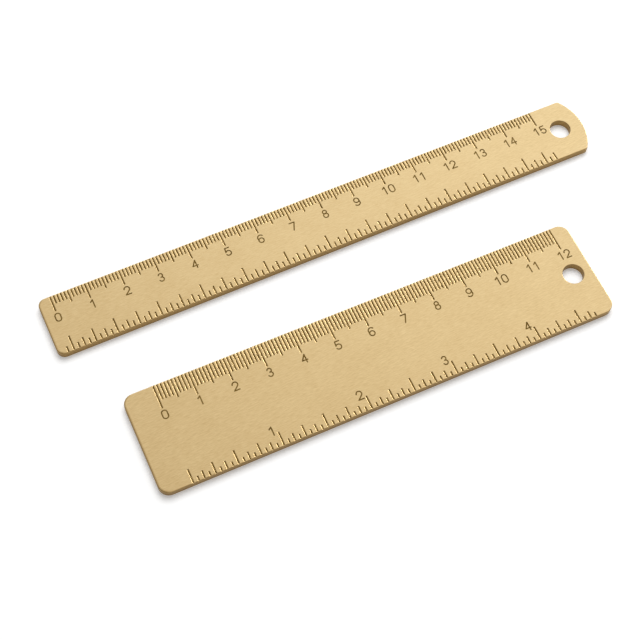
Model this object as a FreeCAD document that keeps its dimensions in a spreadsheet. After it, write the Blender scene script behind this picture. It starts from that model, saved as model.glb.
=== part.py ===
import FreeCAD, Part
import math
import os
import Sketcher

# A pair of engraved brass rulers: a wide one, 12 cm long, and a slim one, 15 cm long.
# Frame: millimetres, +X along the wide ruler, +Y to its centimetre edge, +Z up.
# The origin is the middle of the wide ruler's underside.

V = FreeCAD.Vector

# Driving sizes in millimetres, degrees for the turn, and plain counts

SIZES = {
    # both rulers
    "blade_thickness": 2.4,
    "edge_round": 0.2,
    "groove_width": 0.6,
    "groove_floor": 0.12,
    "groove_depth": 0.16,
    "fill_depth": 0.08,
    "stroke_width": 0.36,
    "numeral_height": 2.8,
    "numeral_width": 1.87,
    "numeral_advance": 2.17,
    "centimetre_pitch": 10.0,
    "inch_pitch": 25.4,
    "cutter_overrun": 0.5,
    "cutter_rise": 0.05,
    # wide ruler
    "wide_length": 134.0,
    "wide_width": 29.6,
    "wide_corner": 3.0,
    "wide_hole_diameter": 6.0,
    "wide_hole_from_end": 5.6,
    "wide_hole_from_edge": 14.2,
    "wide_metric_zero": 9.0,
    "wide_metric_margin": 4.0,
    "wide_millimetre_mark": 4.8,
    "wide_half_centimetre_mark": 5.8,
    "wide_centimetre_mark": 7.1,
    "wide_numeral_drop": 0.5,
    "wide_inch_zero": 8.7,
    "wide_inch_margin": 5.4,
    "wide_inch_lead": 0,
    "wide_sixteenth_mark": 1.4,
    "wide_eighth_mark": 2.3,
    "wide_quarter_mark": 3.4,
    "wide_half_inch_mark": 4.1,
    "wide_inch_mark": 4.1,
    "wide_inch_numeral_rise": 3.5,
    "wide_inch_numeral_gap": 1.5,
    # slim ruler
    "slim_length": 166.8,
    "slim_width": 18.0,
    "slim_corner": 2.2,
    "slim_end_radius": 15.0,
    "slim_end_corner": 1.0,
    "slim_hole_diameter": 6.0,
    "slim_hole_from_end": 7.1,
    "slim_hole_from_edge": 9.1,
    "slim_metric_zero": 3.8,
    "slim_metric_margin": 11.0,
    "slim_millimetre_mark": 2.8,
    "slim_half_centimetre_mark": 3.9,
    "slim_centimetre_mark": 5.0,
    "slim_numeral_drop": 0.6,
    "slim_inch_zero": 4.4,
    "slim_inch_margin": 12.4,
    "slim_inch_lead": 1,
    "slim_sixteenth_mark": 1.8,
    "slim_eighth_mark": 2.7,
    "slim_quarter_mark": 4.1,
    "slim_half_inch_mark": 4.6,
    "slim_inch_mark": 4.6,
    # where the slim ruler lies beside the wide one
    "slim_setback": 10.65,
    "slim_spacing": 18.1,
    "slim_turn": 0.6,
}

doc = FreeCAD.newDocument("ruler_pair")
sheet = doc.addObject("Spreadsheet::Sheet", "dims")
for row, (alias, value) in enumerate(SIZES.items(), start=1):
    sheet.set(f"A{row}", alias)
    sheet.set(f"B{row}", str(value))
    sheet.setAlias(f"B{row}", alias)
doc.recompute()


def size(alias):
    """The sheet's value of one driving size."""
    return float(sheet.get(alias))


# Where each ruler's own corner goes, as expressions on the sheet

PLACES = {
    "wide": ("-dims.wide_length / 2", "-dims.wide_width / 2", None),
    "slim": (
        "-dims.wide_length / 2 - dims.slim_setback",
        "dims.wide_width / 2 + dims.slim_spacing",
        "dims.slim_turn",
    ),
}


def place(piece, ruler):
    """Puts a piece drawn in its ruler's own corner frame into the pair's frame."""
    along, across, turn = PLACES[ruler]
    piece.Placement = FreeCAD.Placement(V(0, 0, 0), FreeCAD.Rotation(V(0, 0, 1), 1))
    piece.setExpression(".Placement.Base.x", along)
    piece.setExpression(".Placement.Base.y", across)
    piece.setExpression(".Placement.Rotation.Angle", turn or "0")


# Sketch helpers

def origin_plane(body, role):
    """One of a body's own origin planes or axes."""
    return next(f for f in body.Origin.OriginFeatures if f.Role == role)


def sketch_on(body, name, role, offset):
    """A sketch on one of the body's origin planes, moved along the plane's normal."""
    sketch = body.newObject("Sketcher::SketchObject", name)
    sketch.AttachmentSupport = [(origin_plane(body, role), "")]
    sketch.MapMode = "FlatFace"
    sketch.setExpression(".AttachmentOffset.Base.z", offset)
    return sketch


def bind(sketch, label, kind, ends, expression):
    """Adds a named dimension to a sketch, tied to the sheet."""
    value = float(sketch.evalExpression(expression))
    index = sketch.addConstraint(Sketcher.Constraint(kind, *ends, value))
    sketch.renameConstraint(index, label)
    sketch.setExpression(f".Constraints.{label}", expression)


def add_lines(sketch, points):
    """Straight lines from point to point, joined end to end."""
    first = sketch.GeometryCount
    for start, end in zip(points, points[1:]):
        sketch.addGeometry(Part.LineSegment(V(*start, 0), V(*end, 0)), False)
    last = sketch.GeometryCount - 1
    for index in range(first, last):
        sketch.addConstraint(Sketcher.Constraint("Coincident", index, 2, index + 1, 1))
    return first, last


# Blade outlines

def wide_outline(body):
    """A rectangle with its corner on the body's origin."""
    length = size("wide_length")
    width = size("wide_width")
    sketch = sketch_on(body, "wide_outline", "XY_Plane", "0")
    corners = [(0, 0), (length, 0), (length, width), (0, width), (0, 0)]
    first, last = add_lines(sketch, corners)
    sketch.addConstraint(Sketcher.Constraint("Coincident", last, 2, first, 1))
    sketch.addConstraint(Sketcher.Constraint("Coincident", first, 1, -1, 1))
    for index in (0, 2):
        sketch.addConstraint(Sketcher.Constraint("Horizontal", index))
        sketch.addConstraint(Sketcher.Constraint("Vertical", index + 1))
    bind(sketch, "length", "DistanceX", (0, 1, 0, 2), "dims.wide_length")
    bind(sketch, "width", "DistanceY", (1, 1, 1, 2), "dims.wide_width")
    return sketch


def slim_outline(body):
    """A rectangle whose hole end bulges out in one large arc."""
    width = size("slim_width")
    radius = size("slim_end_radius")
    bulge = radius - math.sqrt(radius ** 2 - (width / 2) ** 2)
    straight = size("slim_length") - bulge
    half_angle = math.asin(width / 2 / radius)
    sketch = sketch_on(body, "slim_outline", "XY_Plane", "0")
    add_lines(sketch, [(straight, width), (0, width), (0, 0), (straight, 0)])
    circle = Part.Circle(V(straight + bulge - radius, width / 2, 0), V(0, 0, 1), radius)
    arc = sketch.addGeometry(Part.ArcOfCircle(circle, -half_angle, half_angle), False)
    sketch.addConstraint(Sketcher.Constraint("Coincident", 2, 2, arc, 1))
    sketch.addConstraint(Sketcher.Constraint("Coincident", 0, 1, arc, 2))
    sketch.addConstraint(Sketcher.Constraint("Coincident", 1, 2, -1, 1))
    sketch.addConstraint(Sketcher.Constraint("Horizontal", 0))
    sketch.addConstraint(Sketcher.Constraint("Vertical", 1))
    sketch.addConstraint(Sketcher.Constraint("Horizontal", 2))
    bind(sketch, "width", "DistanceY", (1, 2, 1, 1), "dims.slim_width")
    bind(sketch, "end_radius", "Radius", (arc,), "dims.slim_end_radius")
    straight_expression = (
        "dims.slim_length - dims.slim_end_radius"
        " + sqrt(pow(dims.slim_end_radius; 2) - pow(dims.slim_width / 2; 2))"
    )
    bind(sketch, "near_side", "DistanceX", (2, 1, 2, 2), straight_expression)
    bind(sketch, "far_side", "DistanceX", (0, 2, 0, 1), straight_expression)
    return sketch


# Blade features

def upright_edges(shape, left):
    """Names of the vertical corner edges at the left or the right of a plate."""
    middle = shape.BoundBox.Center.x
    names = []
    for index, edge in enumerate(shape.Edges, start=1):
        box = edge.BoundBox
        if box.ZLength > 0.5 * shape.BoundBox.ZLength and (box.Center.x < middle) == left:
            names.append(f"Edge{index}")
    return names


def face_edges(shape):
    """Names of the edges that lie in the upper or the lower face of a plate."""
    names = []
    for index, edge in enumerate(shape.Edges, start=1):
        if edge.BoundBox.ZLength < 1e-6:
            names.append(f"Edge{index}")
    return names


def add_fillet(body, name, edges, radius):
    """Rounds the named edges of the body's last feature."""
    base = body.Tip
    fillet = body.newObject("PartDesign::Fillet", name)
    fillet.Base = (base, edges)
    fillet.setExpression(".Radius", radius)
    doc.recompute()


def add_hanging_hole(body, ruler):
    """The round hole through the blade near its right end."""
    sketch = sketch_on(body, f"{ruler}_hole_centre", "XY_Plane", "dims.blade_thickness")
    from_left = f"dims.{ruler}_length - dims.{ruler}_hole_from_end"
    from_edge = f"dims.{ruler}_hole_from_edge"
    centre = V(sketch.evalExpression(from_left), sketch.evalExpression(from_edge), 0)
    radius = size(f"{ruler}_hole_diameter") / 2
    hole = sketch.addGeometry(Part.Circle(centre, V(0, 0, 1), radius), False)
    bind(sketch, "diameter", "Diameter", (hole,), f"dims.{ruler}_hole_diameter")
    bind(sketch, "from_left", "DistanceX", (-1, 1, hole, 3), from_left)
    bind(sketch, "from_edge", "DistanceY", (-1, 1, hole, 3), from_edge)
    pocket = body.newObject("PartDesign::Pocket", f"{ruler}_hanging_hole")
    pocket.Profile = sketch
    pocket.Type = "ThroughAll"
    doc.recompute()


# Graduation marks

def metric_count(ruler):
    """Whole centimetres that fit on the ruler, as an expression."""
    return (
        f"floor((dims.{ruler}_length - dims.{ruler}_metric_zero - dims.{ruler}_metric_margin)"
        " / dims.centimetre_pitch)"
    )


def inch_count(ruler):
    """Sixteenths of an inch that fit on the ruler, as an expression."""
    return (
        f"floor((dims.{ruler}_length - dims.{ruler}_inch_zero - dims.{ruler}_inch_margin)"
        " * 16 / dims.inch_pitch)"
    )


def mark_kinds(ruler):
    """Each kind of mark: name, scale, first place, marks in a group, group step, groups."""
    tens = metric_count(ruler)
    parts = inch_count(ruler)
    lead = f"dims.{ruler}_inch_lead"
    return [
        ("millimetre", "metric", "1", 4, 5, f"2 * {tens}"),
        ("half_centimetre", "metric", "5", 1, 10, tens),
        ("centimetre", "metric", "0", 1, 10, f"{tens} + 1"),
        ("sixteenth", "inch", f"(1 - 2 * {lead})", 1, 2, f"floor(({parts} + 1) / 2) + {lead}"),
        ("eighth", "inch", "2", 1, 4, f"floor(({parts} + 2) / 4)"),
        ("quarter", "inch", "4", 1, 8, f"floor(({parts} + 4) / 8)"),
        ("half_inch", "inch", "8", 1, 16, f"floor(({parts} + 8) / 16)"),
        ("inch", "inch", "0", 1, 16, f"floor({parts} / 16) + 1"),
    ]


UNITS = {"metric": "dims.centimetre_pitch / 10", "inch": "dims.inch_pitch / 16"}
GROOVE_BOTTOM = "(dims.blade_thickness - dims.groove_depth)"
GROOVE_SLOPE = "((dims.groove_width - dims.groove_floor) / 2 / dims.groove_depth)"


def add_mark_section(sketch, centre, high):
    """The section across one mark, from the groove's floor up to a height."""
    half_low = "dims.groove_floor / 2"
    half_high = f"({half_low} + {GROOVE_SLOPE} * ({high} - {GROOVE_BOTTOM}))"
    spots = [
        ("low_left", f"{centre} - {half_low}", GROOVE_BOTTOM),
        ("low_right", f"{centre} + {half_low}", GROOVE_BOTTOM),
        ("high_right", f"{centre} + {half_high}", high),
        ("high_left", f"{centre} - {half_high}", high),
    ]
    points = []
    for _, along, height in spots:
        points.append((sketch.evalExpression(along), sketch.evalExpression(height)))
    first, last = add_lines(sketch, points + points[:1])
    sketch.addConstraint(Sketcher.Constraint("Coincident", last, 2, first, 1))
    for index, (label, along, height) in enumerate(spots):
        corner = (-1, 1, first + index, 1)
        bind(sketch, f"{label}_along", "DistanceX", corner, along)
        bind(sketch, f"{label}_height", "DistanceY", corner, height)


def make_mark_row(name, ruler, mark, inset, high):
    """One bar for each mark of a kind, from inset inside the blade's edge to the mark's end.

    A negative inset starts the bars outside the edge. high is the height of their tops.
    """
    kind, scale, first, in_group, step, groups = mark
    body = doc.addObject("PartDesign::Body", name)
    body.AllowCompound = True
    offset = f"-({inset})"
    if scale == "metric":
        offset = f"-(dims.{ruler}_width - ({inset}))"
    sketch = sketch_on(body, f"{name}_section", "XZ_Plane", offset)
    centre = f"(dims.{ruler}_{scale}_zero + {first} * {UNITS[scale]})"
    add_mark_section(sketch, centre, high)
    pad = body.newObject("PartDesign::Pad", f"{name}_first")
    pad.Profile = sketch
    pad.Reversed = scale == "inch"
    pad.setExpression(".Length", f"dims.{ruler}_{kind}_mark - ({inset})")
    row = body.newObject("PartDesign::LinearPattern", f"{name}_row")
    row.Originals = [pad]
    row.Direction = (sketch, ["H_Axis"])
    row.Mode = "Spacing"
    row.setExpression(".Offset", f"{step} * {UNITS[scale]}")
    row.setExpression(".Occurrences", groups)
    if in_group > 1:
        row.Direction2 = (sketch, ["H_Axis"])
        row.setExpression(".Length2", f"{in_group - 1} * {UNITS[scale]}")
        row.Occurrences2 = in_group
    body.Tip = row
    return body


def make_mark_cutters(ruler):
    """Bars that cut every mark's groove, each run out through the blade's edge."""
    above = "(dims.blade_thickness + dims.cutter_rise)"
    cutters = []
    for mark in mark_kinds(ruler):
        name = f"{ruler}_{mark[0]}_cutter"
        cutters.append(make_mark_row(name, ruler, mark, "-dims.cutter_overrun", above))
    return cutters


def make_mark_fills(ruler):
    """The dark filling of each kind of mark, lying on its groove's floor."""
    top = f"({GROOVE_BOTTOM} + dims.fill_depth)"
    fills = []
    for mark in mark_kinds(ruler):
        fill = make_mark_row(f"{ruler}_{mark[0]}_fill", ruler, mark, "dims.edge_round", top)
        place(fill, ruler)
        fills.append(fill)
    return fills


# Numerals, drawn as strokes of a round-ended cutter

def point_on(centre, radius, angle):
    """The point of a circle at an angle in degrees."""
    turn = math.radians(angle)
    return V(centre[0] + radius * math.cos(turn), centre[1] + radius * math.sin(turn), 0)


def arc_edge(centre, radius, start, end):
    """A circular arc between two angles in degrees."""
    points = [point_on(centre, radius, a) for a in (start, (start + end) / 2, end)]
    return Part.Arc(*points).toShape()


def line_edge(start, end):
    """A straight edge."""
    return Part.LineSegment(V(*start, 0), V(*end, 0)).toShape()


def pen_face(edges, pen):
    """The area that a round pen covers along joined edges that bend."""
    outline = Part.Wire(edges).makeOffset2D(pen / 2, 0, False, False)
    return Part.Face(outline)


def bar_face(start, end, pen):
    """The area that a round pen covers along one straight stroke."""
    begin = V(*start, 0)
    finish = V(*end, 0)
    along = (finish - begin).normalize() * (pen / 2)
    side = V(-along.y, along.x, 0)
    edges = [
        Part.LineSegment(begin + side, finish + side).toShape(),
        Part.Arc(finish + side, finish + along, finish - side).toShape(),
        Part.LineSegment(finish - side, begin - side).toShape(),
        Part.Arc(begin - side, begin - along, begin + side).toShape(),
    ]
    return Part.Face(Part.Wire(edges))


def ring_face(centre, radius, pen, stretch=0.0):
    """A closed ring, drawn out upwards by stretch."""
    loops = []
    for r in (radius + pen / 2, radius - pen / 2):
        top = (centre[0], centre[1] + stretch / 2)
        low = (centre[0], centre[1] - stretch / 2)
        edges = [arc_edge(top, r, 0, 180), arc_edge(low, r, 180, 360)]
        if stretch:
            edges.insert(1, line_edge((top[0] - r, top[1]), (low[0] - r, low[1])))
            edges.append(line_edge((low[0] + r, low[1]), (top[0] + r, top[1])))
        loops.append(Part.Wire(edges))
    return Part.Face(loops[0]).cut(Part.Face(loops[1]))


def numeral_strokes(figure, wide, tall, pen):
    """The strokes of one figure, its stroke middles in a box wide by tall."""
    middle = wide / 2
    if figure == "0":
        return [ring_face((middle, tall / 2), middle, pen, tall - wide)]
    if figure == "1":
        stem = 0.64 * wide
        flag = (0.2 * wide, 0.78 * tall)
        return [pen_face([line_edge(flag, (stem, tall)), line_edge((stem, tall), (stem, 0))], pen)]
    if figure == "2":
        bowl = (middle, tall - middle)
        end = point_on(bowl, middle, -38)
        edges = [
            arc_edge(bowl, middle, 172, -38),
            line_edge((end.x, end.y), (0, 0)),
            line_edge((0, 0), (wide, 0)),
        ]
        return [pen_face(edges, pen)]
    if figure == "3":
        upper = 0.24 * tall
        lower = 0.27 * tall
        return [
            pen_face([arc_edge((0.46 * wide, tall - upper), upper, 160, -90)], pen),
            pen_face([arc_edge((0.46 * wide, lower), lower, 90, -160)], pen),
        ]
    if figure == "4":
        bar = 0.3 * tall
        stem = 0.74 * wide
        return [
            pen_face([line_edge((wide, bar), (0, bar)), line_edge((0, bar), (stem, tall))], pen),
            bar_face((stem, tall), (stem, 0), pen),
        ]
    if figure == "5":
        bowl = 0.31 * tall
        corner = (0.14 * wide, tall)
        heel = (0.04 * wide, 0.46 * tall)
        return [
            pen_face([line_edge((0.92 * wide, tall), corner), line_edge(corner, heel)], pen),
            pen_face([arc_edge((0.48 * wide, bowl), bowl, 146, -154)], pen),
        ]
    if figure == "6":
        bowl = 0.3 * tall
        hook = (0.56 * wide, 0.56 * wide)
        sweep = arc_edge((hook[0], tall - hook[1]), hook[1], 38, 180)
        return [
            ring_face((middle, bowl), bowl, pen),
            pen_face([sweep, line_edge((0, tall - hook[1]), (0.04 * wide, bowl))], pen),
        ]
    if figure == "7":
        edges = [line_edge((0, tall), (wide, tall)), line_edge((wide, tall), (0.32 * wide, 0))]
        return [pen_face(edges, pen)]
    if figure == "8":
        upper = 0.235 * tall
        lower = 0.285 * tall
        return [
            ring_face((middle, tall - upper), upper, pen),
            ring_face((middle, lower), lower, pen),
        ]
    turned = []
    for stroke in numeral_strokes("6", wide, tall, pen):
        turned.append(stroke.rotated(V(middle, tall / 2, 0), V(0, 0, 1), 180))
    return turned


def numeral_solid(figure, depth):
    """One figure as a solid, centred left to right on X = 0 and standing on Y = 0."""
    pen = size("stroke_width")
    wide = size("numeral_width") - pen
    tall = size("numeral_height") - pen
    strokes = []
    for face in numeral_strokes(figure, wide, tall, pen):
        strokes.append(face.extrude(V(0, 0, depth)))
    solid = strokes[0]
    if len(strokes) > 1:
        solid = solid.fuse(strokes[1:]).removeSplitter()
    return solid.translated(V(-wide / 2, pen / 2, 0))


def set_numbers(numbers, low, high):
    """Numbers as solids between two heights; each is its text, middle and baseline."""
    figures = {figure: numeral_solid(figure, high - low) for figure in "0123456789"}
    advance = size("numeral_advance")
    solids = []
    for text, middle, base in numbers:
        start = middle - advance * (len(text) - 1) / 2
        for index, figure in enumerate(text):
            spot = V(start + index * advance, base, low)
            solids += figures[figure].translated(spot).Solids
    return Part.makeCompound(solids)


def centimetre_numbers(ruler):
    """The numbers under the centimetre marks, each centred on its mark."""
    top = size(f"{ruler}_width") - size(f"{ruler}_centimetre_mark") - size(f"{ruler}_numeral_drop")
    numbers = []
    for number in range(int(sheet.evalExpression(metric_count(ruler))) + 1):
        mark = size(f"{ruler}_metric_zero") + number * size("centimetre_pitch")
        numbers.append((str(number), mark, top - size("numeral_height")))
    return numbers


def inch_numbers(ruler):
    """The numbers beside the inch marks, each left of its mark."""
    numbers = []
    for number in range(1, int(sheet.evalExpression(inch_count(ruler)) / 16) + 1):
        mark = size(f"{ruler}_inch_zero") + number * size("inch_pitch")
        middle = mark - size(f"{ruler}_inch_numeral_gap")
        numbers.append((str(number), middle, size(f"{ruler}_inch_numeral_rise")))
    return numbers


def make_number_fill(name, ruler, numbers):
    """The dark filling of a row of numbers."""
    bottom = size("blade_thickness") - size("groove_depth")
    fill = doc.addObject("Part::Feature", name)
    fill.Shape = set_numbers(numbers, bottom, bottom + size("fill_depth"))
    place(fill, ruler)
    return fill


# Blades

def make_plate(ruler, outline, right_corner):
    """The bare plate: outline, rounded corners, hanging hole and rounded rims."""
    body = doc.addObject("PartDesign::Body", f"{ruler}_plate")
    pad = body.newObject("PartDesign::Pad", f"{ruler}_pad")
    pad.Profile = outline(body)
    pad.setExpression(".Length", "dims.blade_thickness")
    doc.recompute()
    add_fillet(body, f"{ruler}_left_corners", upright_edges(body.Shape, True), f"dims.{ruler}_corner")
    add_fillet(body, f"{ruler}_right_corners", upright_edges(body.Shape, False), right_corner)
    add_hanging_hole(body, ruler)
    add_fillet(body, f"{ruler}_rims", face_edges(body.Shape), "dims.edge_round")
    return body


def make_blade(ruler, plate, numbers):
    """The brass blade: the plate with every mark and number cut into its upper face."""
    top = size("blade_thickness")
    number_cutter = doc.addObject("Part::Feature", f"{ruler}_number_cutter")
    number_cutter.Shape = set_numbers(numbers, top - size("groove_depth"), top + size("cutter_rise"))
    cutters = doc.addObject("Part::Compound", f"{ruler}_cutters")
    cutters.Links = make_mark_cutters(ruler) + [number_cutter]
    blade = doc.addObject("Part::Cut", f"{ruler}_blade")
    blade.Base = plate
    blade.Tool = cutters
    place(blade, ruler)
    return blade


wide_centimetres = centimetre_numbers("wide")
wide_inches = inch_numbers("wide")
slim_centimetres = centimetre_numbers("slim")

wide_plate = make_plate("wide", wide_outline, "dims.wide_corner")
pieces = [make_blade("wide", wide_plate, wide_centimetres + wide_inches)]
pieces += make_mark_fills("wide")
pieces.append(make_number_fill("wide_centimetre_numbers", "wide", wide_centimetres))
pieces.append(make_number_fill("wide_inch_numbers", "wide", wide_inches))

slim_plate = make_plate("slim", slim_outline, "dims.slim_end_corner")
pieces.append(make_blade("slim", slim_plate, slim_centimetres))
pieces += make_mark_fills("slim")
pieces.append(make_number_fill("slim_centimetre_numbers", "slim", slim_centimetres))
doc.recompute()

# Every object has to be sound before anything is written

for item in doc.Objects:
    if "Invalid" in item.State or "Error" in item.State:
        raise RuntimeError(f"{item.Label} did not build: {item.State}")
for piece in pieces:
    if piece.Shape.isNull() or not piece.Shape.isValid():
        raise RuntimeError(f"{piece.Label} has no valid shape")

os.makedirs("parts", exist_ok=True)
for piece in pieces:
    piece.Shape.exportStep(os.path.join("parts", f"{piece.Label}.step"))
    box = piece.Shape.BoundBox
    print(piece.Label, len(piece.Shape.Solids), round(piece.Shape.Volume, 3),
          [round(v, 2) for v in (box.XMin, box.XMax, box.YMin, box.YMax, box.ZMin, box.ZMax)])
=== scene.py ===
import math

import bmesh
import bpy
from bpy.props import FloatProperty, FloatVectorProperty, PointerProperty, StringProperty
from mathutils import Matrix, Vector


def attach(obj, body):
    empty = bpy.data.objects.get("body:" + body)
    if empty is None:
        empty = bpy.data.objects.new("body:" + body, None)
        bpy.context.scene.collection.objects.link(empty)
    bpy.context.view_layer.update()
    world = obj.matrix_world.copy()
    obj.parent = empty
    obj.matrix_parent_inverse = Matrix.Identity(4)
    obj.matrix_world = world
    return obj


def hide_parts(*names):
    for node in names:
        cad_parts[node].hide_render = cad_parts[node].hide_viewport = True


bl_info = {
    "name": "Brass Ruler Pair",
    "version": (1, 0, 0),
    "blender": (4, 5, 0),
    "location": "View3D > Sidebar > Rulers",
    "description": "Finishes a wide and a slim brass ruler and lays them on a white table",
    "category": "Object",
}

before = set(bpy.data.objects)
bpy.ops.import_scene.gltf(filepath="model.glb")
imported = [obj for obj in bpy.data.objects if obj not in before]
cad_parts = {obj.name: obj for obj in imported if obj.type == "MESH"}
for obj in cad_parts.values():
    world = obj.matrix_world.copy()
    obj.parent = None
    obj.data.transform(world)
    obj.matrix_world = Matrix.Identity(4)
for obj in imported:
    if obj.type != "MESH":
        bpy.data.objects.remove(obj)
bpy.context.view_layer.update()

MILLIMETRE = 0.001
INCH = 0.0254


# Sizes and colours that a user would change


class BrassFinish(bpy.types.PropertyGroup):
    """Colours and brushing of the blades."""

    light: FloatVectorProperty(
        name="Light brass",
        description="Colour of the polished crests of the brushing",
        default=(1.0, 0.77, 0.40),
        subtype="COLOR",
        min=0.0,
        max=1.0,
    )
    dark: FloatVectorProperty(
        name="Dark brass",
        description="Colour in the valleys of the brushing",
        default=(0.77, 0.545, 0.247),
        subtype="COLOR",
        min=0.0,
        max=1.0,
    )
    # Painted shade: the sides, rims and hole wall get this darker colour in place of the shaded table
    # that they reflect.
    side_shade_paint: FloatVectorProperty(
        name="Cut edge",
        description="Darker colour of the blade's sides and the wall of its hole",
        default=(0.345, 0.215, 0.072),
        subtype="COLOR",
        min=0.0,
        max=1.0,
    )
    stroke_length: FloatProperty(
        name="Stroke length",
        description="Usual length of one brushing stroke",
        default=1.8 * MILLIMETRE,
        unit="LENGTH",
    )
    stroke_width: FloatProperty(
        name="Stroke width",
        description="Usual width of one brushing stroke",
        default=0.22 * MILLIMETRE,
        unit="LENGTH",
    )
    roughness: FloatProperty(
        name="Roughness",
        description="Mean roughness of the brushed face",
        default=0.36,
        min=0.0,
        max=1.0,
        subtype="FACTOR",
    )
    # Painted shade: a dark band along the left end stands in for the dark rim that the light leaves
    # there.
    end_shade_width: FloatProperty(
        name="Tarnish width",
        description="Width of the browned band along the left end",
        default=0.6 * MILLIMETRE,
        unit="LENGTH",
        precision=5,
    )
    brush_depth: FloatProperty(
        name="Brush depth",
        description="Height of the brushing strokes",
        default=0.004 * MILLIMETRE,
        unit="LENGTH",
        precision=6,
    )


class FillFinish(bpy.types.PropertyGroup):
    """The dark filling in the marks and numbers."""

    colour: FloatVectorProperty(
        name="Filling",
        description="Colour of the filling",
        default=(0.135, 0.078, 0.014),
        subtype="COLOR",
        min=0.0,
        max=1.0,
    )
    worn: FloatVectorProperty(
        name="Thin filling",
        description="Colour where the filling is thin and the brass shines through",
        default=(0.25, 0.152, 0.04),
        subtype="COLOR",
        min=0.0,
        max=1.0,
    )
    numbers: FloatVectorProperty(
        name="Number filling",
        description="Colour of the filling in the numbers, where it is thinner",
        default=(0.145, 0.083, 0.014),
        subtype="COLOR",
        min=0.0,
        max=1.0,
    )
    worn_numbers: FloatVectorProperty(
        name="Thin number filling",
        description="Colour of the numbers where the brass shines through",
        default=(0.27, 0.17, 0.045),
        subtype="COLOR",
        min=0.0,
        max=1.0,
    )
    strip_floor: FloatProperty(
        name="Strip floor",
        description="Width of a filled strip at the groove's floor",
        default=0.12 * MILLIMETRE,
        unit="LENGTH",
        precision=5,
    )
    dish: FloatProperty(
        name="Dish",
        description="How far the filling sinks along the middle of a groove",
        default=0.03 * MILLIMETRE,
        unit="LENGTH",
        precision=6,
    )


class SlimPlace(bpy.types.PropertyGroup):
    """How the slim ruler lies on the table."""

    turn: FloatProperty(
        name="Turn",
        description="How far it is turned from the wide ruler's length",
        default=math.radians(0.6),
        subtype="ANGLE",
        unit="ROTATION",
    )


class CameraPlace(bpy.types.PropertyGroup):
    """Where the camera stands, seen from the point that it looks at."""

    aim: FloatVectorProperty(
        name="Aim",
        description="Point of the table at the middle of the picture",
        default=(-8.79 * MILLIMETRE, 15.75 * MILLIMETRE, 0.0),
        subtype="TRANSLATION",
        unit="LENGTH",
    )
    distance: FloatProperty(
        name="Distance",
        description="From the aim to the camera",
        default=360.0 * MILLIMETRE,
        unit="LENGTH",
    )
    azimuth: FloatProperty(
        name="Azimuth",
        description="Direction of view along the table, from +X towards +Y",
        default=math.radians(62.27),
        subtype="ANGLE",
        unit="ROTATION",
    )
    elevation: FloatProperty(
        name="Elevation",
        description="How steeply the camera looks down",
        default=math.radians(63.19),
        subtype="ANGLE",
        unit="ROTATION",
    )
    roll: FloatProperty(
        name="Roll",
        description="Turn of the picture about the line of sight",
        default=math.radians(3.61),
        subtype="ANGLE",
        unit="ROTATION",
    )
    lens: FloatProperty(
        name="Lens",
        description="Focal length for a sensor 36 mm wide",
        default=73.8,
        min=1.0,
    )


class TableLight(bpy.types.PropertyGroup):
    """Light and table of the studio."""

    key_power: FloatProperty(
        name="Key power",
        description="Power of the soft lamp that casts the shadows, in watts",
        default=10.5,
        min=0.0,
    )
    low_power: FloatProperty(
        name="Low lamp power",
        description="Power of the low lamp at the right that lights the grooves, in watts",
        default=2.6,
        min=0.0,
    )
    sky: FloatProperty(
        name="Sky",
        description="Strength of the light from all round",
        default=0.29,
        min=0.0,
    )
    table: FloatProperty(
        name="Table",
        description="Paleness of the table top",
        default=0.92,
        min=0.0,
        max=1.0,
        subtype="FACTOR",
    )
    table_glow: FloatProperty(
        name="Table glow",
        description="Light added to the table as the eye and the metal see it",
        default=0.26,
        min=0.0,
    )


SETTINGS = {
    "ruler_brass": BrassFinish,
    "ruler_fill": FillFinish,
    "slim_ruler_place": SlimPlace,
    "ruler_camera": CameraPlace,
    "ruler_table": TableLight,
}


# Node helpers


def add_node(tree, kind, **values):
    """Adds a node and sets its properties and, by name, its unlinked inputs."""
    node = tree.nodes.new(kind)
    for name, value in values.items():
        if name == "inputs":
            for socket, number in value.items():
                node.inputs[socket].default_value = number
        else:
            setattr(node, name, value)
    return node


def new_group(name, kind, inputs, outputs):
    """An empty node group with named sockets, each given as name: (type, default)."""
    group = bpy.data.node_groups.new(name, kind)
    for label, (socket_type, default) in inputs.items():
        socket = group.interface.new_socket(label, in_out="INPUT", socket_type=socket_type)
        if default is not None:
            socket.default_value = default
    for label, socket_type in outputs.items():
        group.interface.new_socket(label, in_out="OUTPUT", socket_type=socket_type)
    return group


def math_node(tree, operation, first, second, clamp=False):
    """A Math node between two sockets or plain numbers; returns its output."""
    node = tree.nodes.new("ShaderNodeMath")
    node.operation = operation
    node.use_clamp = clamp
    for index, value in enumerate((first, second)):
        if isinstance(value, (int, float)):
            node.inputs[index].default_value = value
        else:
            tree.links.new(value, node.inputs[index])
    return node.outputs[0]


def map_range(tree, value, limits):
    """A socket mapped from one range to another; returns the result socket."""
    node = add_node(tree, "ShaderNodeMapRange", inputs=limits)
    tree.links.new(value, node.inputs["Value"])
    return node.outputs["Result"]


def add_up(tree, start, parts):
    """A plain number plus each socket times its share."""
    total = start
    for socket, share in parts:
        total = math_node(tree, "ADD", math_node(tree, "MULTIPLY", socket, share), total)
    return total


def mix_colours(tree, factor, first, second):
    """A colour mix; each side is a socket or a colour. Returns the result socket."""
    node = add_node(tree, "ShaderNodeMix", data_type="RGBA")
    tree.links.new(factor, node.inputs["Factor"])
    for label, value in (("A", first), ("B", second)):
        socket = next(s for s in node.inputs if s.name == label and s.type == "RGBA")
        if isinstance(value, bpy.types.NodeSocket):
            tree.links.new(value, socket)
        else:
            socket.default_value = (*value, 1.0)
    return next(s for s in node.outputs if s.type == "RGBA")


# Shared shader effects

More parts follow.
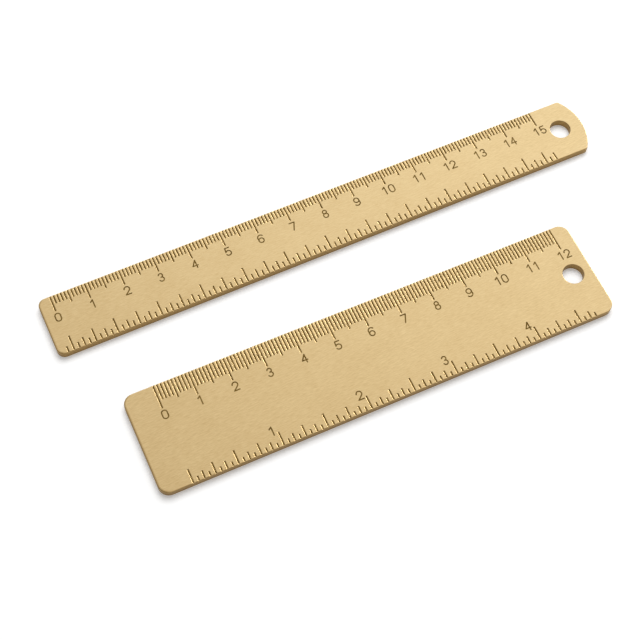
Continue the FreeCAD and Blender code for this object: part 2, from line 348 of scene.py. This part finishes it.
FINE_STROKES = {"Scale": 1.0, "Detail": 4.0, "Roughness": 0.62}
BROAD_BANDS = {"Scale": 0.12, "Detail": 2.0, "Roughness": 0.5}
CLOUDS = {"Detail": 3.0, "Roughness": 0.55}
NOISE_MIDDLE = 0.5
# Painted shade: how fast the dark band at the left end fades away from the end.
END_SHADE_FADE = 2.0


def brushing_group():
    """Fine strokes along X, and the broad soft bands that they gather in."""
    group = new_group(
        "lengthwise_brushing",
        "ShaderNodeTree",
        {
            "Stroke Length": ("NodeSocketFloat", 2 * MILLIMETRE),
            "Stroke Width": ("NodeSocketFloat", 0.2 * MILLIMETRE),
            "Contrast": ("NodeSocketFloat", 1.0),
        },
        {"Strokes": "NodeSocketFloat", "Bands": "NodeSocketFloat"},
    )
    links = group.links
    source = group.nodes.new("NodeGroupInput")
    result = group.nodes.new("NodeGroupOutput")
    place = group.nodes.new("ShaderNodeTexCoord")
    along = math_node(group, "DIVIDE", 1.0, source.outputs["Stroke Length"])
    across = math_node(group, "DIVIDE", 1.0, source.outputs["Stroke Width"])
    scale = group.nodes.new("ShaderNodeCombineXYZ")
    links.new(along, scale.inputs["X"])
    links.new(across, scale.inputs["Y"])
    links.new(across, scale.inputs["Z"])
    stretched = add_node(group, "ShaderNodeVectorMath", operation="MULTIPLY")
    links.new(place.outputs["Object"], stretched.inputs[0])
    links.new(scale.outputs["Vector"], stretched.inputs[1])
    fine = add_node(group, "ShaderNodeTexNoise", inputs=FINE_STROKES)
    links.new(stretched.outputs["Vector"], fine.inputs["Vector"])
    swing = math_node(group, "SUBTRACT", fine.outputs["Fac"], NOISE_MIDDLE)
    swing = math_node(group, "MULTIPLY", swing, source.outputs["Contrast"])
    strokes = math_node(group, "ADD", swing, NOISE_MIDDLE, clamp=True)
    links.new(strokes, result.inputs["Strokes"])
    broad = add_node(group, "ShaderNodeTexNoise", inputs=BROAD_BANDS)
    links.new(stretched.outputs["Vector"], broad.inputs["Vector"])
    links.new(broad.outputs["Fac"], result.inputs["Bands"])
    return group


def handling_group():
    """Soft cloudy patches left by handling."""
    group = new_group(
        "handling_patches",
        "ShaderNodeTree",
        {"Patch Size": ("NodeSocketFloat", 6 * MILLIMETRE)},
        {"Patches": "NodeSocketFloat"},
    )
    source = group.nodes.new("NodeGroupInput")
    result = group.nodes.new("NodeGroupOutput")
    place = group.nodes.new("ShaderNodeTexCoord")
    scale = math_node(group, "DIVIDE", 1.0, source.outputs["Patch Size"])
    cloud = add_node(group, "ShaderNodeTexNoise", inputs=CLOUDS)
    group.links.new(place.outputs["Object"], cloud.inputs["Vector"])
    group.links.new(scale, cloud.inputs["Scale"])
    group.links.new(cloud.outputs["Fac"], result.inputs["Patches"])
    return group


def side_group():
    """A mask of the surfaces that stand upright, such as cut edges and hole walls."""
    group = new_group(
        "upright_sides",
        "ShaderNodeTree",
        {"Start": ("NodeSocketFloat", 0.25), "Full": ("NodeSocketFloat", 0.7)},
        {"Sides": "NodeSocketFloat"},
    )
    source = group.nodes.new("NodeGroupInput")
    result = group.nodes.new("NodeGroupOutput")
    place = group.nodes.new("ShaderNodeTexCoord")
    split = group.nodes.new("ShaderNodeSeparateXYZ")
    group.links.new(place.outputs["Normal"], split.inputs["Vector"])
    flat = math_node(group, "ABSOLUTE", split.outputs["Z"], 0.0)
    upright = math_node(group, "SUBTRACT", 1.0, flat)
    spread = group.nodes.new("ShaderNodeMapRange")
    group.links.new(upright, spread.inputs["Value"])
    group.links.new(source.outputs["Start"], spread.inputs["From Min"])
    group.links.new(source.outputs["Full"], spread.inputs["From Max"])
    group.links.new(spread.outputs["Result"], result.inputs["Sides"])
    return group


def end_shade_group():
    """A narrow band of painted shade along the left end of a blade and round its two corners."""
    group = new_group(
        "painted_end_shade",
        "ShaderNodeTree",
        {
            "Place": ("NodeSocketVector", None),
            "Turn": ("NodeSocketVector", None),
            "Straight": ("NodeSocketFloat", 10 * MILLIMETRE),
            "Corner": ("NodeSocketFloat", 3 * MILLIMETRE),
            "Width": ("NodeSocketFloat", 0.6 * MILLIMETRE),
        },
        {"Shade": "NodeSocketFloat"},
    )
    links = group.links
    source = group.nodes.new("NodeGroupInput")
    result = group.nodes.new("NodeGroupOutput")
    place = group.nodes.new("ShaderNodeTexCoord")
    own = group.nodes.new("ShaderNodeMapping")
    split = group.nodes.new("ShaderNodeSeparateXYZ")
    links.new(place.outputs["Object"], own.inputs["Vector"])
    links.new(source.outputs["Place"], own.inputs["Location"])
    links.new(source.outputs["Turn"], own.inputs["Rotation"])
    links.new(own.outputs["Vector"], split.inputs["Vector"])
    corner = source.outputs["Corner"]
    endwards = math_node(group, "MULTIPLY", split.outputs["X"], -1.0)
    endwards = math_node(group, "MAXIMUM", endwards, 0.0)
    sidewards = math_node(group, "ABSOLUTE", split.outputs["Y"], 0.0)
    sidewards = math_node(group, "SUBTRACT", sidewards, source.outputs["Straight"])
    sidewards = math_node(group, "MAXIMUM", sidewards, 0.0)
    squares = math_node(group, "MULTIPLY", endwards, endwards)
    squares = math_node(group, "ADD", squares, math_node(group, "MULTIPLY", sidewards, sidewards))
    inwards = math_node(group, "SUBTRACT", corner, math_node(group, "POWER", squares, 0.5))
    inwards = math_node(group, "DIVIDE", inwards, source.outputs["Width"])
    band = math_node(group, "SUBTRACT", 1.0, inwards, clamp=True)
    fade = math_node(group, "DIVIDE", endwards, corner)
    fade = math_node(group, "MULTIPLY", fade, END_SHADE_FADE, clamp=True)
    links.new(math_node(group, "MULTIPLY", band, fade), result.inputs["Shade"])
    return group


def shared(name, build):
    """A shared effect, built the first time that it is asked for."""
    return bpy.data.node_groups.get(name) or build()


def effect(material, group, **values):
    """Places a shared effect in a material with its own values."""
    node = material.node_tree.nodes.new("ShaderNodeGroup")
    node.node_tree = group
    for name, value in values.items():
        node.inputs[name.replace("_", " ")].default_value = value
    return node


# Ruler frames

LEFT_CORNERS = {"wide": 3 * MILLIMETRE, "slim": 2.2 * MILLIMETRE}


def ruler_matrix(context, ruler):
    """The turn about the origin from a ruler's own axes to the pair's frame."""
    turn = context.scene.slim_ruler_place.turn if ruler == "slim" else 0.0
    return Matrix.Rotation(turn, 4, "Z")


def own_box(node, matrix):
    """A CAD node's lowest and highest corners in its ruler's own axes."""
    back = matrix.inverted()
    corners = [back @ v.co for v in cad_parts[node].data.vertices]
    low = Vector([min(c[axis] for c in corners) for axis in range(3)])
    high = Vector([max(c[axis] for c in corners) for axis in range(3)])
    return low, high


# Finishes

STROKE_CONTRAST = 3.0
BRASS_PATCH = 6 * MILLIMETRE
BLEND_START = -0.07
STROKE_SHARE = 0.64
BAND_SHARE = 0.16
PATCH_SHARE = 0.34
# Painted shade: how upright a surface must be to take the darker side colour.
SIDE_SHADE_RANGE = {"Start": 0.12, "Full": 0.45}
GROOVE_WALLS = {"Start": 0.04, "Full": 0.12}
ROUGHNESS_SWING = 0.16
GROOVE_ROUGHNESS = 0.1
BRUSH_STRENGTH = 1.0
FILLING_PATCH = 1.6 * MILLIMETRE
FILLING_SPECULAR = 0.08
FILLING_BUMP = {"Strength": 0.5, "Distance": 0.01 * MILLIMETRE}
FILLING_ROUGHNESS = 0.42
FILLING_ROUGHNESS_SWING = 0.3
THIN_FROM_PATCHES = {"From Min": 0.42, "From Max": 0.72}


def new_material(name):
    """A material with an empty tree, its Principled shader and its output."""
    material = bpy.data.materials.new(name)
    material.use_nodes = True
    tree = material.node_tree
    tree.nodes.clear()
    shader = tree.nodes.new("ShaderNodeBsdfPrincipled")
    output = tree.nodes.new("ShaderNodeOutputMaterial")
    tree.links.new(shader.outputs["BSDF"], output.inputs["Surface"])
    return material, tree, shader


def brushed_brass(context, ruler):
    """One ruler's satin brass, brushed lengthwise, with painted shade on its cut edges and left end.
    """
    settings = context.scene.ruler_brass
    material, tree, shader = new_material(f"{ruler}_brushed_brass_finish")
    sides = shared("upright_sides", side_group)
    matrix = ruler_matrix(context, ruler)
    low, high = own_box(f"{ruler}_blade", matrix)
    corner = LEFT_CORNERS[ruler]
    # Painted shade: a dark band along the left end and round its corners.
    end_shade = effect(
        material,
        shared("painted_end_shade", end_shade_group),
        Place=(-low.x - corner, -(low.y + high.y) / 2, 0.0),
        Turn=(0.0, 0.0, -matrix.to_euler().z),
        Straight=(high.y - low.y) / 2 - corner,
        Corner=corner,
        Width=settings.end_shade_width,
    )
    brush = effect(
        material,
        shared("lengthwise_brushing", brushing_group),
        Stroke_Length=settings.stroke_length,
        Stroke_Width=settings.stroke_width,
        Contrast=STROKE_CONTRAST,
    )
    patches = effect(material, shared("handling_patches", handling_group), Patch_Size=BRASS_PATCH)
    edge = effect(material, sides, **SIDE_SHADE_RANGE)
    slope = effect(material, sides, **GROOVE_WALLS)
    strokes = brush.outputs["Strokes"]
    grain = [
        (strokes, STROKE_SHARE),
        (brush.outputs["Bands"], BAND_SHARE),
        (patches.outputs["Patches"], PATCH_SHARE),
    ]
    face = mix_colours(tree, add_up(tree, BLEND_START, grain), settings.dark, settings.light)
    # Painted shade: the upright sides and the left end band are darkened in the base colour.
    painted_shade = math_node(tree, "MAXIMUM", edge.outputs["Sides"], end_shade.outputs["Shade"])
    colour = mix_colours(tree, painted_shade, face, settings.side_shade_paint)
    tree.links.new(colour, shader.inputs["Base Color"])
    shader.inputs["Metallic"].default_value = 1.0
    uneven = [(strokes, ROUGHNESS_SWING), (slope.outputs["Sides"], GROOVE_ROUGHNESS)]
    rough = add_up(tree, settings.roughness - ROUGHNESS_SWING / 2, uneven)
    tree.links.new(rough, shader.inputs["Roughness"])
    bump = add_node(tree, "ShaderNodeBump", inputs={"Distance": settings.brush_depth})
    bump.inputs["Strength"].default_value = BRUSH_STRENGTH
    flat = math_node(tree, "SUBTRACT", 1.0, slope.outputs["Sides"])
    tree.links.new(math_node(tree, "MULTIPLY", strokes, flat), bump.inputs["Height"])
    tree.links.new(bump.outputs["Normal"], shader.inputs["Normal"])
    return material


def dark_filling(name, full, worn):
    """Matt dark brown filling, paler in the patches where it is thin."""
    material, tree, shader = new_material(name)
    shader.inputs["Specular IOR Level"].default_value = FILLING_SPECULAR
    handling = effect(material, shared("handling_patches", handling_group), Patch_Size=FILLING_PATCH)
    patches = handling.outputs["Patches"]
    colour = mix_colours(tree, map_range(tree, patches, THIN_FROM_PATCHES), full, worn)
    tree.links.new(colour, shader.inputs["Base Color"])
    rough = add_up(tree, FILLING_ROUGHNESS, [(patches, FILLING_ROUGHNESS_SWING)])
    tree.links.new(rough, shader.inputs["Roughness"])
    bump = add_node(tree, "ShaderNodeBump", inputs=FILLING_BUMP)
    tree.links.new(patches, bump.inputs["Height"])
    tree.links.new(bump.outputs["Normal"], shader.inputs["Normal"])
    return material


def mark_filling(context):
    """The filling of the marks, built the first time that it is asked for."""
    name = "mark_filling_finish"
    settings = context.scene.ruler_fill
    return bpy.data.materials.get(name) or dark_filling(name, settings.colour, settings.worn)


def number_filling(context):
    """The thinner filling of the numbers, built the first time that it is asked for."""
    name = "number_filling_finish"
    settings = context.scene.ruler_fill
    return bpy.data.materials.get(name) or dark_filling(name, settings.numbers, settings.worn_numbers)


# Rows of filled marks: the step between groups, the strips in a group and the step between them

MARK_ROWS = {
    "millimetre": (5 * MILLIMETRE, 4, MILLIMETRE),
    "half_centimetre": (10 * MILLIMETRE, 1, MILLIMETRE),
    "centimetre": (10 * MILLIMETRE, 1, MILLIMETRE),
    "sixteenth": (INCH / 8, 1, INCH / 16),
    "eighth": (INCH / 4, 1, INCH / 16),
    "quarter": (INCH / 2, 1, INCH / 16),
    "half_inch": (INCH, 1, INCH / 16),
    "inch": (INCH, 1, INCH / 16),
}
DISH_POINTS = (1.0, 0.5, 0.0, -0.5, -1.0)


def row_tree():
    """Geometry nodes that repeat one strip in groups along X."""
    tree = bpy.data.node_groups.get("strip_row")
    if tree is not None:
        return tree
    tree = new_group(
        "strip_row",
        "GeometryNodeTree",
        {
            "Strip": ("NodeSocketGeometry", None),
            "Groups": ("NodeSocketInt", 1),
            "Group Step": ("NodeSocketFloat", 0.01),
            "In Group": ("NodeSocketInt", 1),
            "Strip Step": ("NodeSocketFloat", 0.001),
            "Finish": ("NodeSocketMaterial", None),
        },
        {"Row": "NodeSocketGeometry"},
    )
    source = tree.nodes.new("NodeGroupInput")
    result = tree.nodes.new("NodeGroupOutput")
    geometry = source.outputs["Strip"]
    for count, step in (("In Group", "Strip Step"), ("Groups", "Group Step")):
        line = add_node(tree, "GeometryNodeMeshLine", mode="OFFSET")
        offset = tree.nodes.new("ShaderNodeCombineXYZ")
        tree.links.new(source.outputs[step], offset.inputs["X"])
        tree.links.new(source.outputs[count], line.inputs["Count"])
        tree.links.new(offset.outputs["Vector"], line.inputs["Offset"])
        copies = tree.nodes.new("GeometryNodeInstanceOnPoints")
        tree.links.new(line.outputs["Mesh"], copies.inputs["Points"])
        tree.links.new(geometry, copies.inputs["Instance"])
        geometry = copies.outputs["Instances"]
    real = tree.nodes.new("GeometryNodeRealizeInstances")
    finish = tree.nodes.new("GeometryNodeSetMaterial")
    tree.links.new(geometry, real.inputs["Geometry"])
    tree.links.new(real.outputs["Geometry"], finish.inputs["Geometry"])
    tree.links.new(source.outputs["Finish"], finish.inputs["Material"])
    tree.links.new(finish.outputs["Geometry"], result.inputs["Row"])
    return tree


def strip_mesh(name, middle, low, high, floor_width, top_width, dish):
    """One closed strip along Y whose top sinks towards the middle of its width."""
    half_floor = floor_width / 2
    half_top = top_width / 2
    section = [(-half_floor, low.z), (half_floor, low.z)]
    for share in DISH_POINTS:
        section.append((half_top * share, high.z - dish * (1 - share * share)))
    bm = bmesh.new()
    rings = []
    for y in (low.y, high.y):
        rings.append([bm.verts.new((middle + x, y, z)) for x, z in section])
    for index in range(len(section)):
        after = (index + 1) % len(section)
        bm.faces.new((rings[0][index], rings[0][after], rings[1][after], rings[1][index]))
    bm.faces.new(list(reversed(rings[0])))
    bm.faces.new(rings[1])
    bmesh.ops.recalc_face_normals(bm, faces=bm.faces)
    mesh = bpy.data.meshes.new(name)
    bm.to_mesh(mesh)
    bm.free()
    return mesh


def set_inputs(modifier, values):
    """Sets a geometry nodes modifier's inputs by socket identifier."""
    for item in modifier.node_group.interface.items_tree:
        if item.in_out == "INPUT" and item.name in values:
            modifier[item.identifier] = values[item.name]


def make_row(context, ruler, kind, filling):
    """The strips of one kind of mark, in place of their plain solids."""
    node = f"{ruler}_{kind}_fill"
    matrix = ruler_matrix(context, ruler)
    low, high = own_box(node, matrix)
    group_step, in_group, strip_step = MARK_ROWS[kind]
    span = high.x - low.x - (in_group - 1) * strip_step
    groups = int(span // group_step) + 1
    top_width = span - (groups - 1) * group_step
    settings = context.scene.ruler_fill
    middle = low.x + top_width / 2
    mesh = strip_mesh(node, middle, low, high, settings.strip_floor, top_width, settings.dish)
    source = bpy.data.objects.new(f"{node}_source", mesh)
    context.scene.collection.objects.link(source)
    modifier = source.modifiers.new("Row", "NODES")
    modifier.node_group = row_tree()
    set_inputs(
        modifier,
        {
            "Groups": groups,
            "Group Step": group_step,
            "In Group": in_group,
            "Strip Step": strip_step,
            "Finish": filling,
        },
    )
    context.view_layer.update()
    seen = source.evaluated_get(context.evaluated_depsgraph_get())
    row_mesh = bpy.data.meshes.new_from_object(seen)
    bpy.data.objects.remove(source)
    bpy.data.meshes.remove(mesh)
    row_mesh.transform(matrix)
    row = bpy.data.objects.new(f"{ruler}_{kind}_marks", row_mesh)
    context.scene.collection.objects.link(row)
    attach(row, f"{ruler}_ruler")
    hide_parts(node)


# Table, sky, lamps and camera

WHITE = (1.0, 1.0, 1.0)
TABLE_HALF = 3.0
TABLE_LEVEL = -0.03 * MILLIMETRE
FAR_TABLE = {"From Min": 0.25, "From Max": 1.4, "To Max": 0.8}
SKY_RISE = {"X": 0.65, "Y": 0.9}
SKY_FOR_METAL = {"From Min": 0.18, "From Max": 0.70, "To Min": 0.62, "To Max": 1.06}
LEFT_FOR_METAL = {"From Min": -0.6, "From Max": 0.2, "To Min": 0.6, "To Max": 1.0}
TINT_RANGE = {"From Min": 0.42, "From Max": 0.7}
WARM_TINT = (0.98, 0.94, 0.90)
COOL_TINT = (1.02, 1.07, 1.20)
KEY_PLACE = (0.28, 0.50, 1.0)
KEY_SIZE = 0.85
LOW_PLACE = (0.93, 0.36, 0.19)
LOW_SIZE = 0.3
SENSOR_WIDTH = 36.0
CLIP_START = 10 * MILLIMETRE


def seen_by_eye_or_metal(tree):
    """A socket that is 1 for camera, glossy and transmission rays, and its Light Path node."""
    rays = tree.nodes.new("ShaderNodeLightPath")
    seen = math_node(tree, "MAXIMUM", rays.outputs["Is Camera Ray"], rays.outputs["Is Glossy Ray"])
    return math_node(tree, "MAXIMUM", seen, rays.outputs["Is Transmission Ray"]), rays


def table_finish(settings):
    """White paint that glows a little for the eye and the metal, and is clear from below."""
    material = bpy.data.materials.new("white_table")
    material.use_nodes = True
    tree = material.node_tree
    tree.nodes.clear()
    paint = add_node(tree, "ShaderNodeBsdfDiffuse", inputs={"Color": (*[settings.table] * 3, 1.0)})
    place = tree.nodes.new("ShaderNodeTexCoord")
    distance = add_node(tree, "ShaderNodeVectorMath", operation="LENGTH")
    tree.links.new(place.outputs["Object"], distance.inputs[0])
    rising = {**FAR_TABLE, "To Min": settings.table_glow}
    seen, _ = seen_by_eye_or_metal(tree)
    strength = math_node(tree, "MULTIPLY", seen, map_range(tree, distance.outputs["Value"], rising))
    glow = tree.nodes.new("ShaderNodeEmission")
    tree.links.new(strength, glow.inputs["Strength"])
    both = tree.nodes.new("ShaderNodeAddShader")
    tree.links.new(paint.outputs["BSDF"], both.inputs[0])
    tree.links.new(glow.outputs["Emission"], both.inputs[1])
    facing = tree.nodes.new("ShaderNodeNewGeometry")
    clear = tree.nodes.new("ShaderNodeBsdfTransparent")
    sided = tree.nodes.new("ShaderNodeMixShader")
    tree.links.new(facing.outputs["Backfacing"], sided.inputs["Fac"])
    tree.links.new(both.outputs["Shader"], sided.inputs[1])
    tree.links.new(clear.outputs["BSDF"], sided.inputs[2])
    output = tree.nodes.new("ShaderNodeOutputMaterial")
    tree.links.new(sided.outputs["Shader"], output.inputs["Surface"])
    return material


def lay_table(context, settings):
    """A broad white table top, a hair below the rulers, that keeps their shadows."""
    mesh = bpy.data.meshes.new("table_top")
    sides = ((-1, -1), (1, -1), (1, 1), (-1, 1))
    corners = [(x * TABLE_HALF, y * TABLE_HALF, TABLE_LEVEL) for x, y in sides]
    mesh.from_pydata(corners, [], [(0, 1, 2, 3)])
    mesh.materials.append(table_finish(settings))
    table = bpy.data.objects.new("table_top", mesh)
    context.scene.collection.objects.link(table)


def hang_sky(context, settings):
    """A white world: even as light, and for the metal brighter and cooler towards +X and +Y."""
    world = bpy.data.worlds.new("studio")
    context.scene.world = world
    world.use_nodes = True
    tree = world.node_tree
    tree.nodes.clear()
    place = tree.nodes.new("ShaderNodeTexCoord")
    split = tree.nodes.new("ShaderNodeSeparateXYZ")
    tree.links.new(place.outputs["Generated"], split.inputs["Vector"])
    rise = add_up(tree, 0.0, [(split.outputs[axis], share) for axis, share in SKY_RISE.items()])
    side = map_range(tree, rise, SKY_FOR_METAL)
    left = map_range(tree, split.outputs["X"], LEFT_FOR_METAL)
    metal = math_node(tree, "MULTIPLY", side, left)
    seen, rays = seen_by_eye_or_metal(tree)
    eye = rays.outputs["Is Camera Ray"]
    not_eye = math_node(tree, "SUBTRACT", 1.0, eye)
    shown = math_node(tree, "ADD", math_node(tree, "MULTIPLY", metal, not_eye), eye)
    extra = math_node(tree, "SUBTRACT", shown, settings.sky)
    strength = math_node(tree, "ADD", math_node(tree, "MULTIPLY", extra, seen), settings.sky)
    tint = mix_colours(tree, map_range(tree, rise, TINT_RANGE), WARM_TINT, COOL_TINT)
    colour = mix_colours(tree, math_node(tree, "MULTIPLY", seen, not_eye), WHITE, tint)
    background = tree.nodes.new("ShaderNodeBackground")
    output = tree.nodes.new("ShaderNodeOutputWorld")
    tree.links.new(colour, background.inputs["Color"])
    tree.links.new(strength, background.inputs["Strength"])
    tree.links.new(background.outputs["Background"], output.inputs["Surface"])


def add_lamp(context, name, place, size, power):
    """A square area lamp that points at the rulers."""
    light = bpy.data.lights.new(name, "AREA")
    light.shape = "SQUARE"
    light.size = size
    light.energy = power
    lamp = bpy.data.objects.new(name, light)
    lamp.location = place
    lamp.rotation_euler = (-Vector(place)).to_track_quat("-Z", "Y").to_euler()
    context.scene.collection.objects.link(lamp)
    return lamp


def stand_camera(context, settings):
    """The camera at the photograph's angle."""
    camera = bpy.data.cameras.new("view")
    camera.lens = settings.lens
    camera.sensor_width = SENSOR_WIDTH
    camera.sensor_fit = "HORIZONTAL"
    camera.clip_start = CLIP_START
    aim = Vector(settings.aim)
    level = math.cos(settings.elevation)
    sight = Vector(
        (
            level * math.cos(settings.azimuth),
            level * math.sin(settings.azimuth),
            -math.sin(settings.elevation),
        )
    )
    stand = bpy.data.objects.new("view", camera)
    turned = sight.to_track_quat("-Z", "Y").to_matrix().to_4x4()
    roll = Matrix.Rotation(settings.roll, 4, "Z")
    stand.matrix_world = Matrix.Translation(aim - sight * settings.distance) @ turned @ roll
    context.scene.collection.objects.link(stand)
    context.scene.camera = stand


# Operators


def give_finish(node, material):
    """Puts a material in every slot of a CAD node."""
    for slot in node.material_slots:
        slot.material = material


class FinishBlade(bpy.types.Operator):
    """Gives one ruler's blade its brushed brass"""

    bl_idname = "ruler.finish_blade"
    bl_label = "Finish Blade"

    ruler: StringProperty(name="Ruler", description="wide or slim", default="wide")

    def execute(self, context):
        give_finish(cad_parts[f"{self.ruler}_blade"], brushed_brass(context, self.ruler))
        return {"FINISHED"}


class FillMarks(bpy.types.Operator):
    """Fills every mark of one ruler's scales"""

    bl_idname = "ruler.fill_marks"
    bl_label = "Fill Marks"

    ruler: StringProperty(name="Ruler", description="wide or slim", default="wide")

    def execute(self, context):
        filling = mark_filling(context)
        for kind in MARK_ROWS:
            make_row(context, self.ruler, kind, filling)
        return {"FINISHED"}


class FillNumbers(bpy.types.Operator):
    """Fills one ruler's numbers"""

    bl_idname = "ruler.fill_numbers"
    bl_label = "Fill Numbers"

    ruler: StringProperty(name="Ruler", description="wide or slim", default="wide")

    def execute(self, context):
        filling = number_filling(context)
        for name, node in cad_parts.items():
            if name.startswith(self.ruler) and name.endswith("_numbers"):
                give_finish(node, filling)
        return {"FINISHED"}


class SetStage(bpy.types.Operator):
    """Lays the white table, hangs the lights and stands the camera"""

    bl_idname = "ruler.set_stage"
    bl_label = "Set Stage"

    def execute(self, context):
        scene = context.scene
        settings = scene.ruler_table
        lay_table(context, settings)
        hang_sky(context, settings)
        key = add_lamp(context, "key", KEY_PLACE, KEY_SIZE, settings.key_power)
        key.visible_glossy = False
        add_lamp(context, "low_lamp", LOW_PLACE, LOW_SIZE, settings.low_power)
        stand_camera(context, scene.ruler_camera)
        scene.view_settings.view_transform = "Standard"
        return {"FINISHED"}


class RULER_PT_panel(bpy.types.Panel):
    """The rulers' settings and operators"""

    bl_label = "Rulers"
    bl_idname = "RULER_PT_panel"
    bl_space_type = "VIEW_3D"
    bl_region_type = "UI"
    bl_category = "Rulers"

    def draw(self, context):
        layout = self.layout
        for name, kind in SETTINGS.items():
            box = layout.box()
            box.label(text=kind.__name__)
            for item in kind.__annotations__:
                box.prop(getattr(context.scene, name), item)
        for operator in OPERATORS:
            layout.operator(operator.bl_idname)


OPERATORS = (FinishBlade, FillMarks, FillNumbers, SetStage)
CLASSES = (*SETTINGS.values(), *OPERATORS, RULER_PT_panel)


def register():
    for item in CLASSES:
        bpy.utils.register_class(item)
    for name, kind in SETTINGS.items():
        setattr(bpy.types.Scene, name, PointerProperty(type=kind))


def unregister():
    for name in SETTINGS:
        delattr(bpy.types.Scene, name)
    for item in reversed(CLASSES):
        bpy.utils.unregister_class(item)


def main():
    register()
    for ruler in ("wide", "slim"):
        bpy.ops.ruler.finish_blade(ruler=ruler)
        bpy.ops.ruler.fill_marks(ruler=ruler)
        bpy.ops.ruler.fill_numbers(ruler=ruler)
    bpy.ops.ruler.set_stage()


if __name__ == "__main__":
    main()
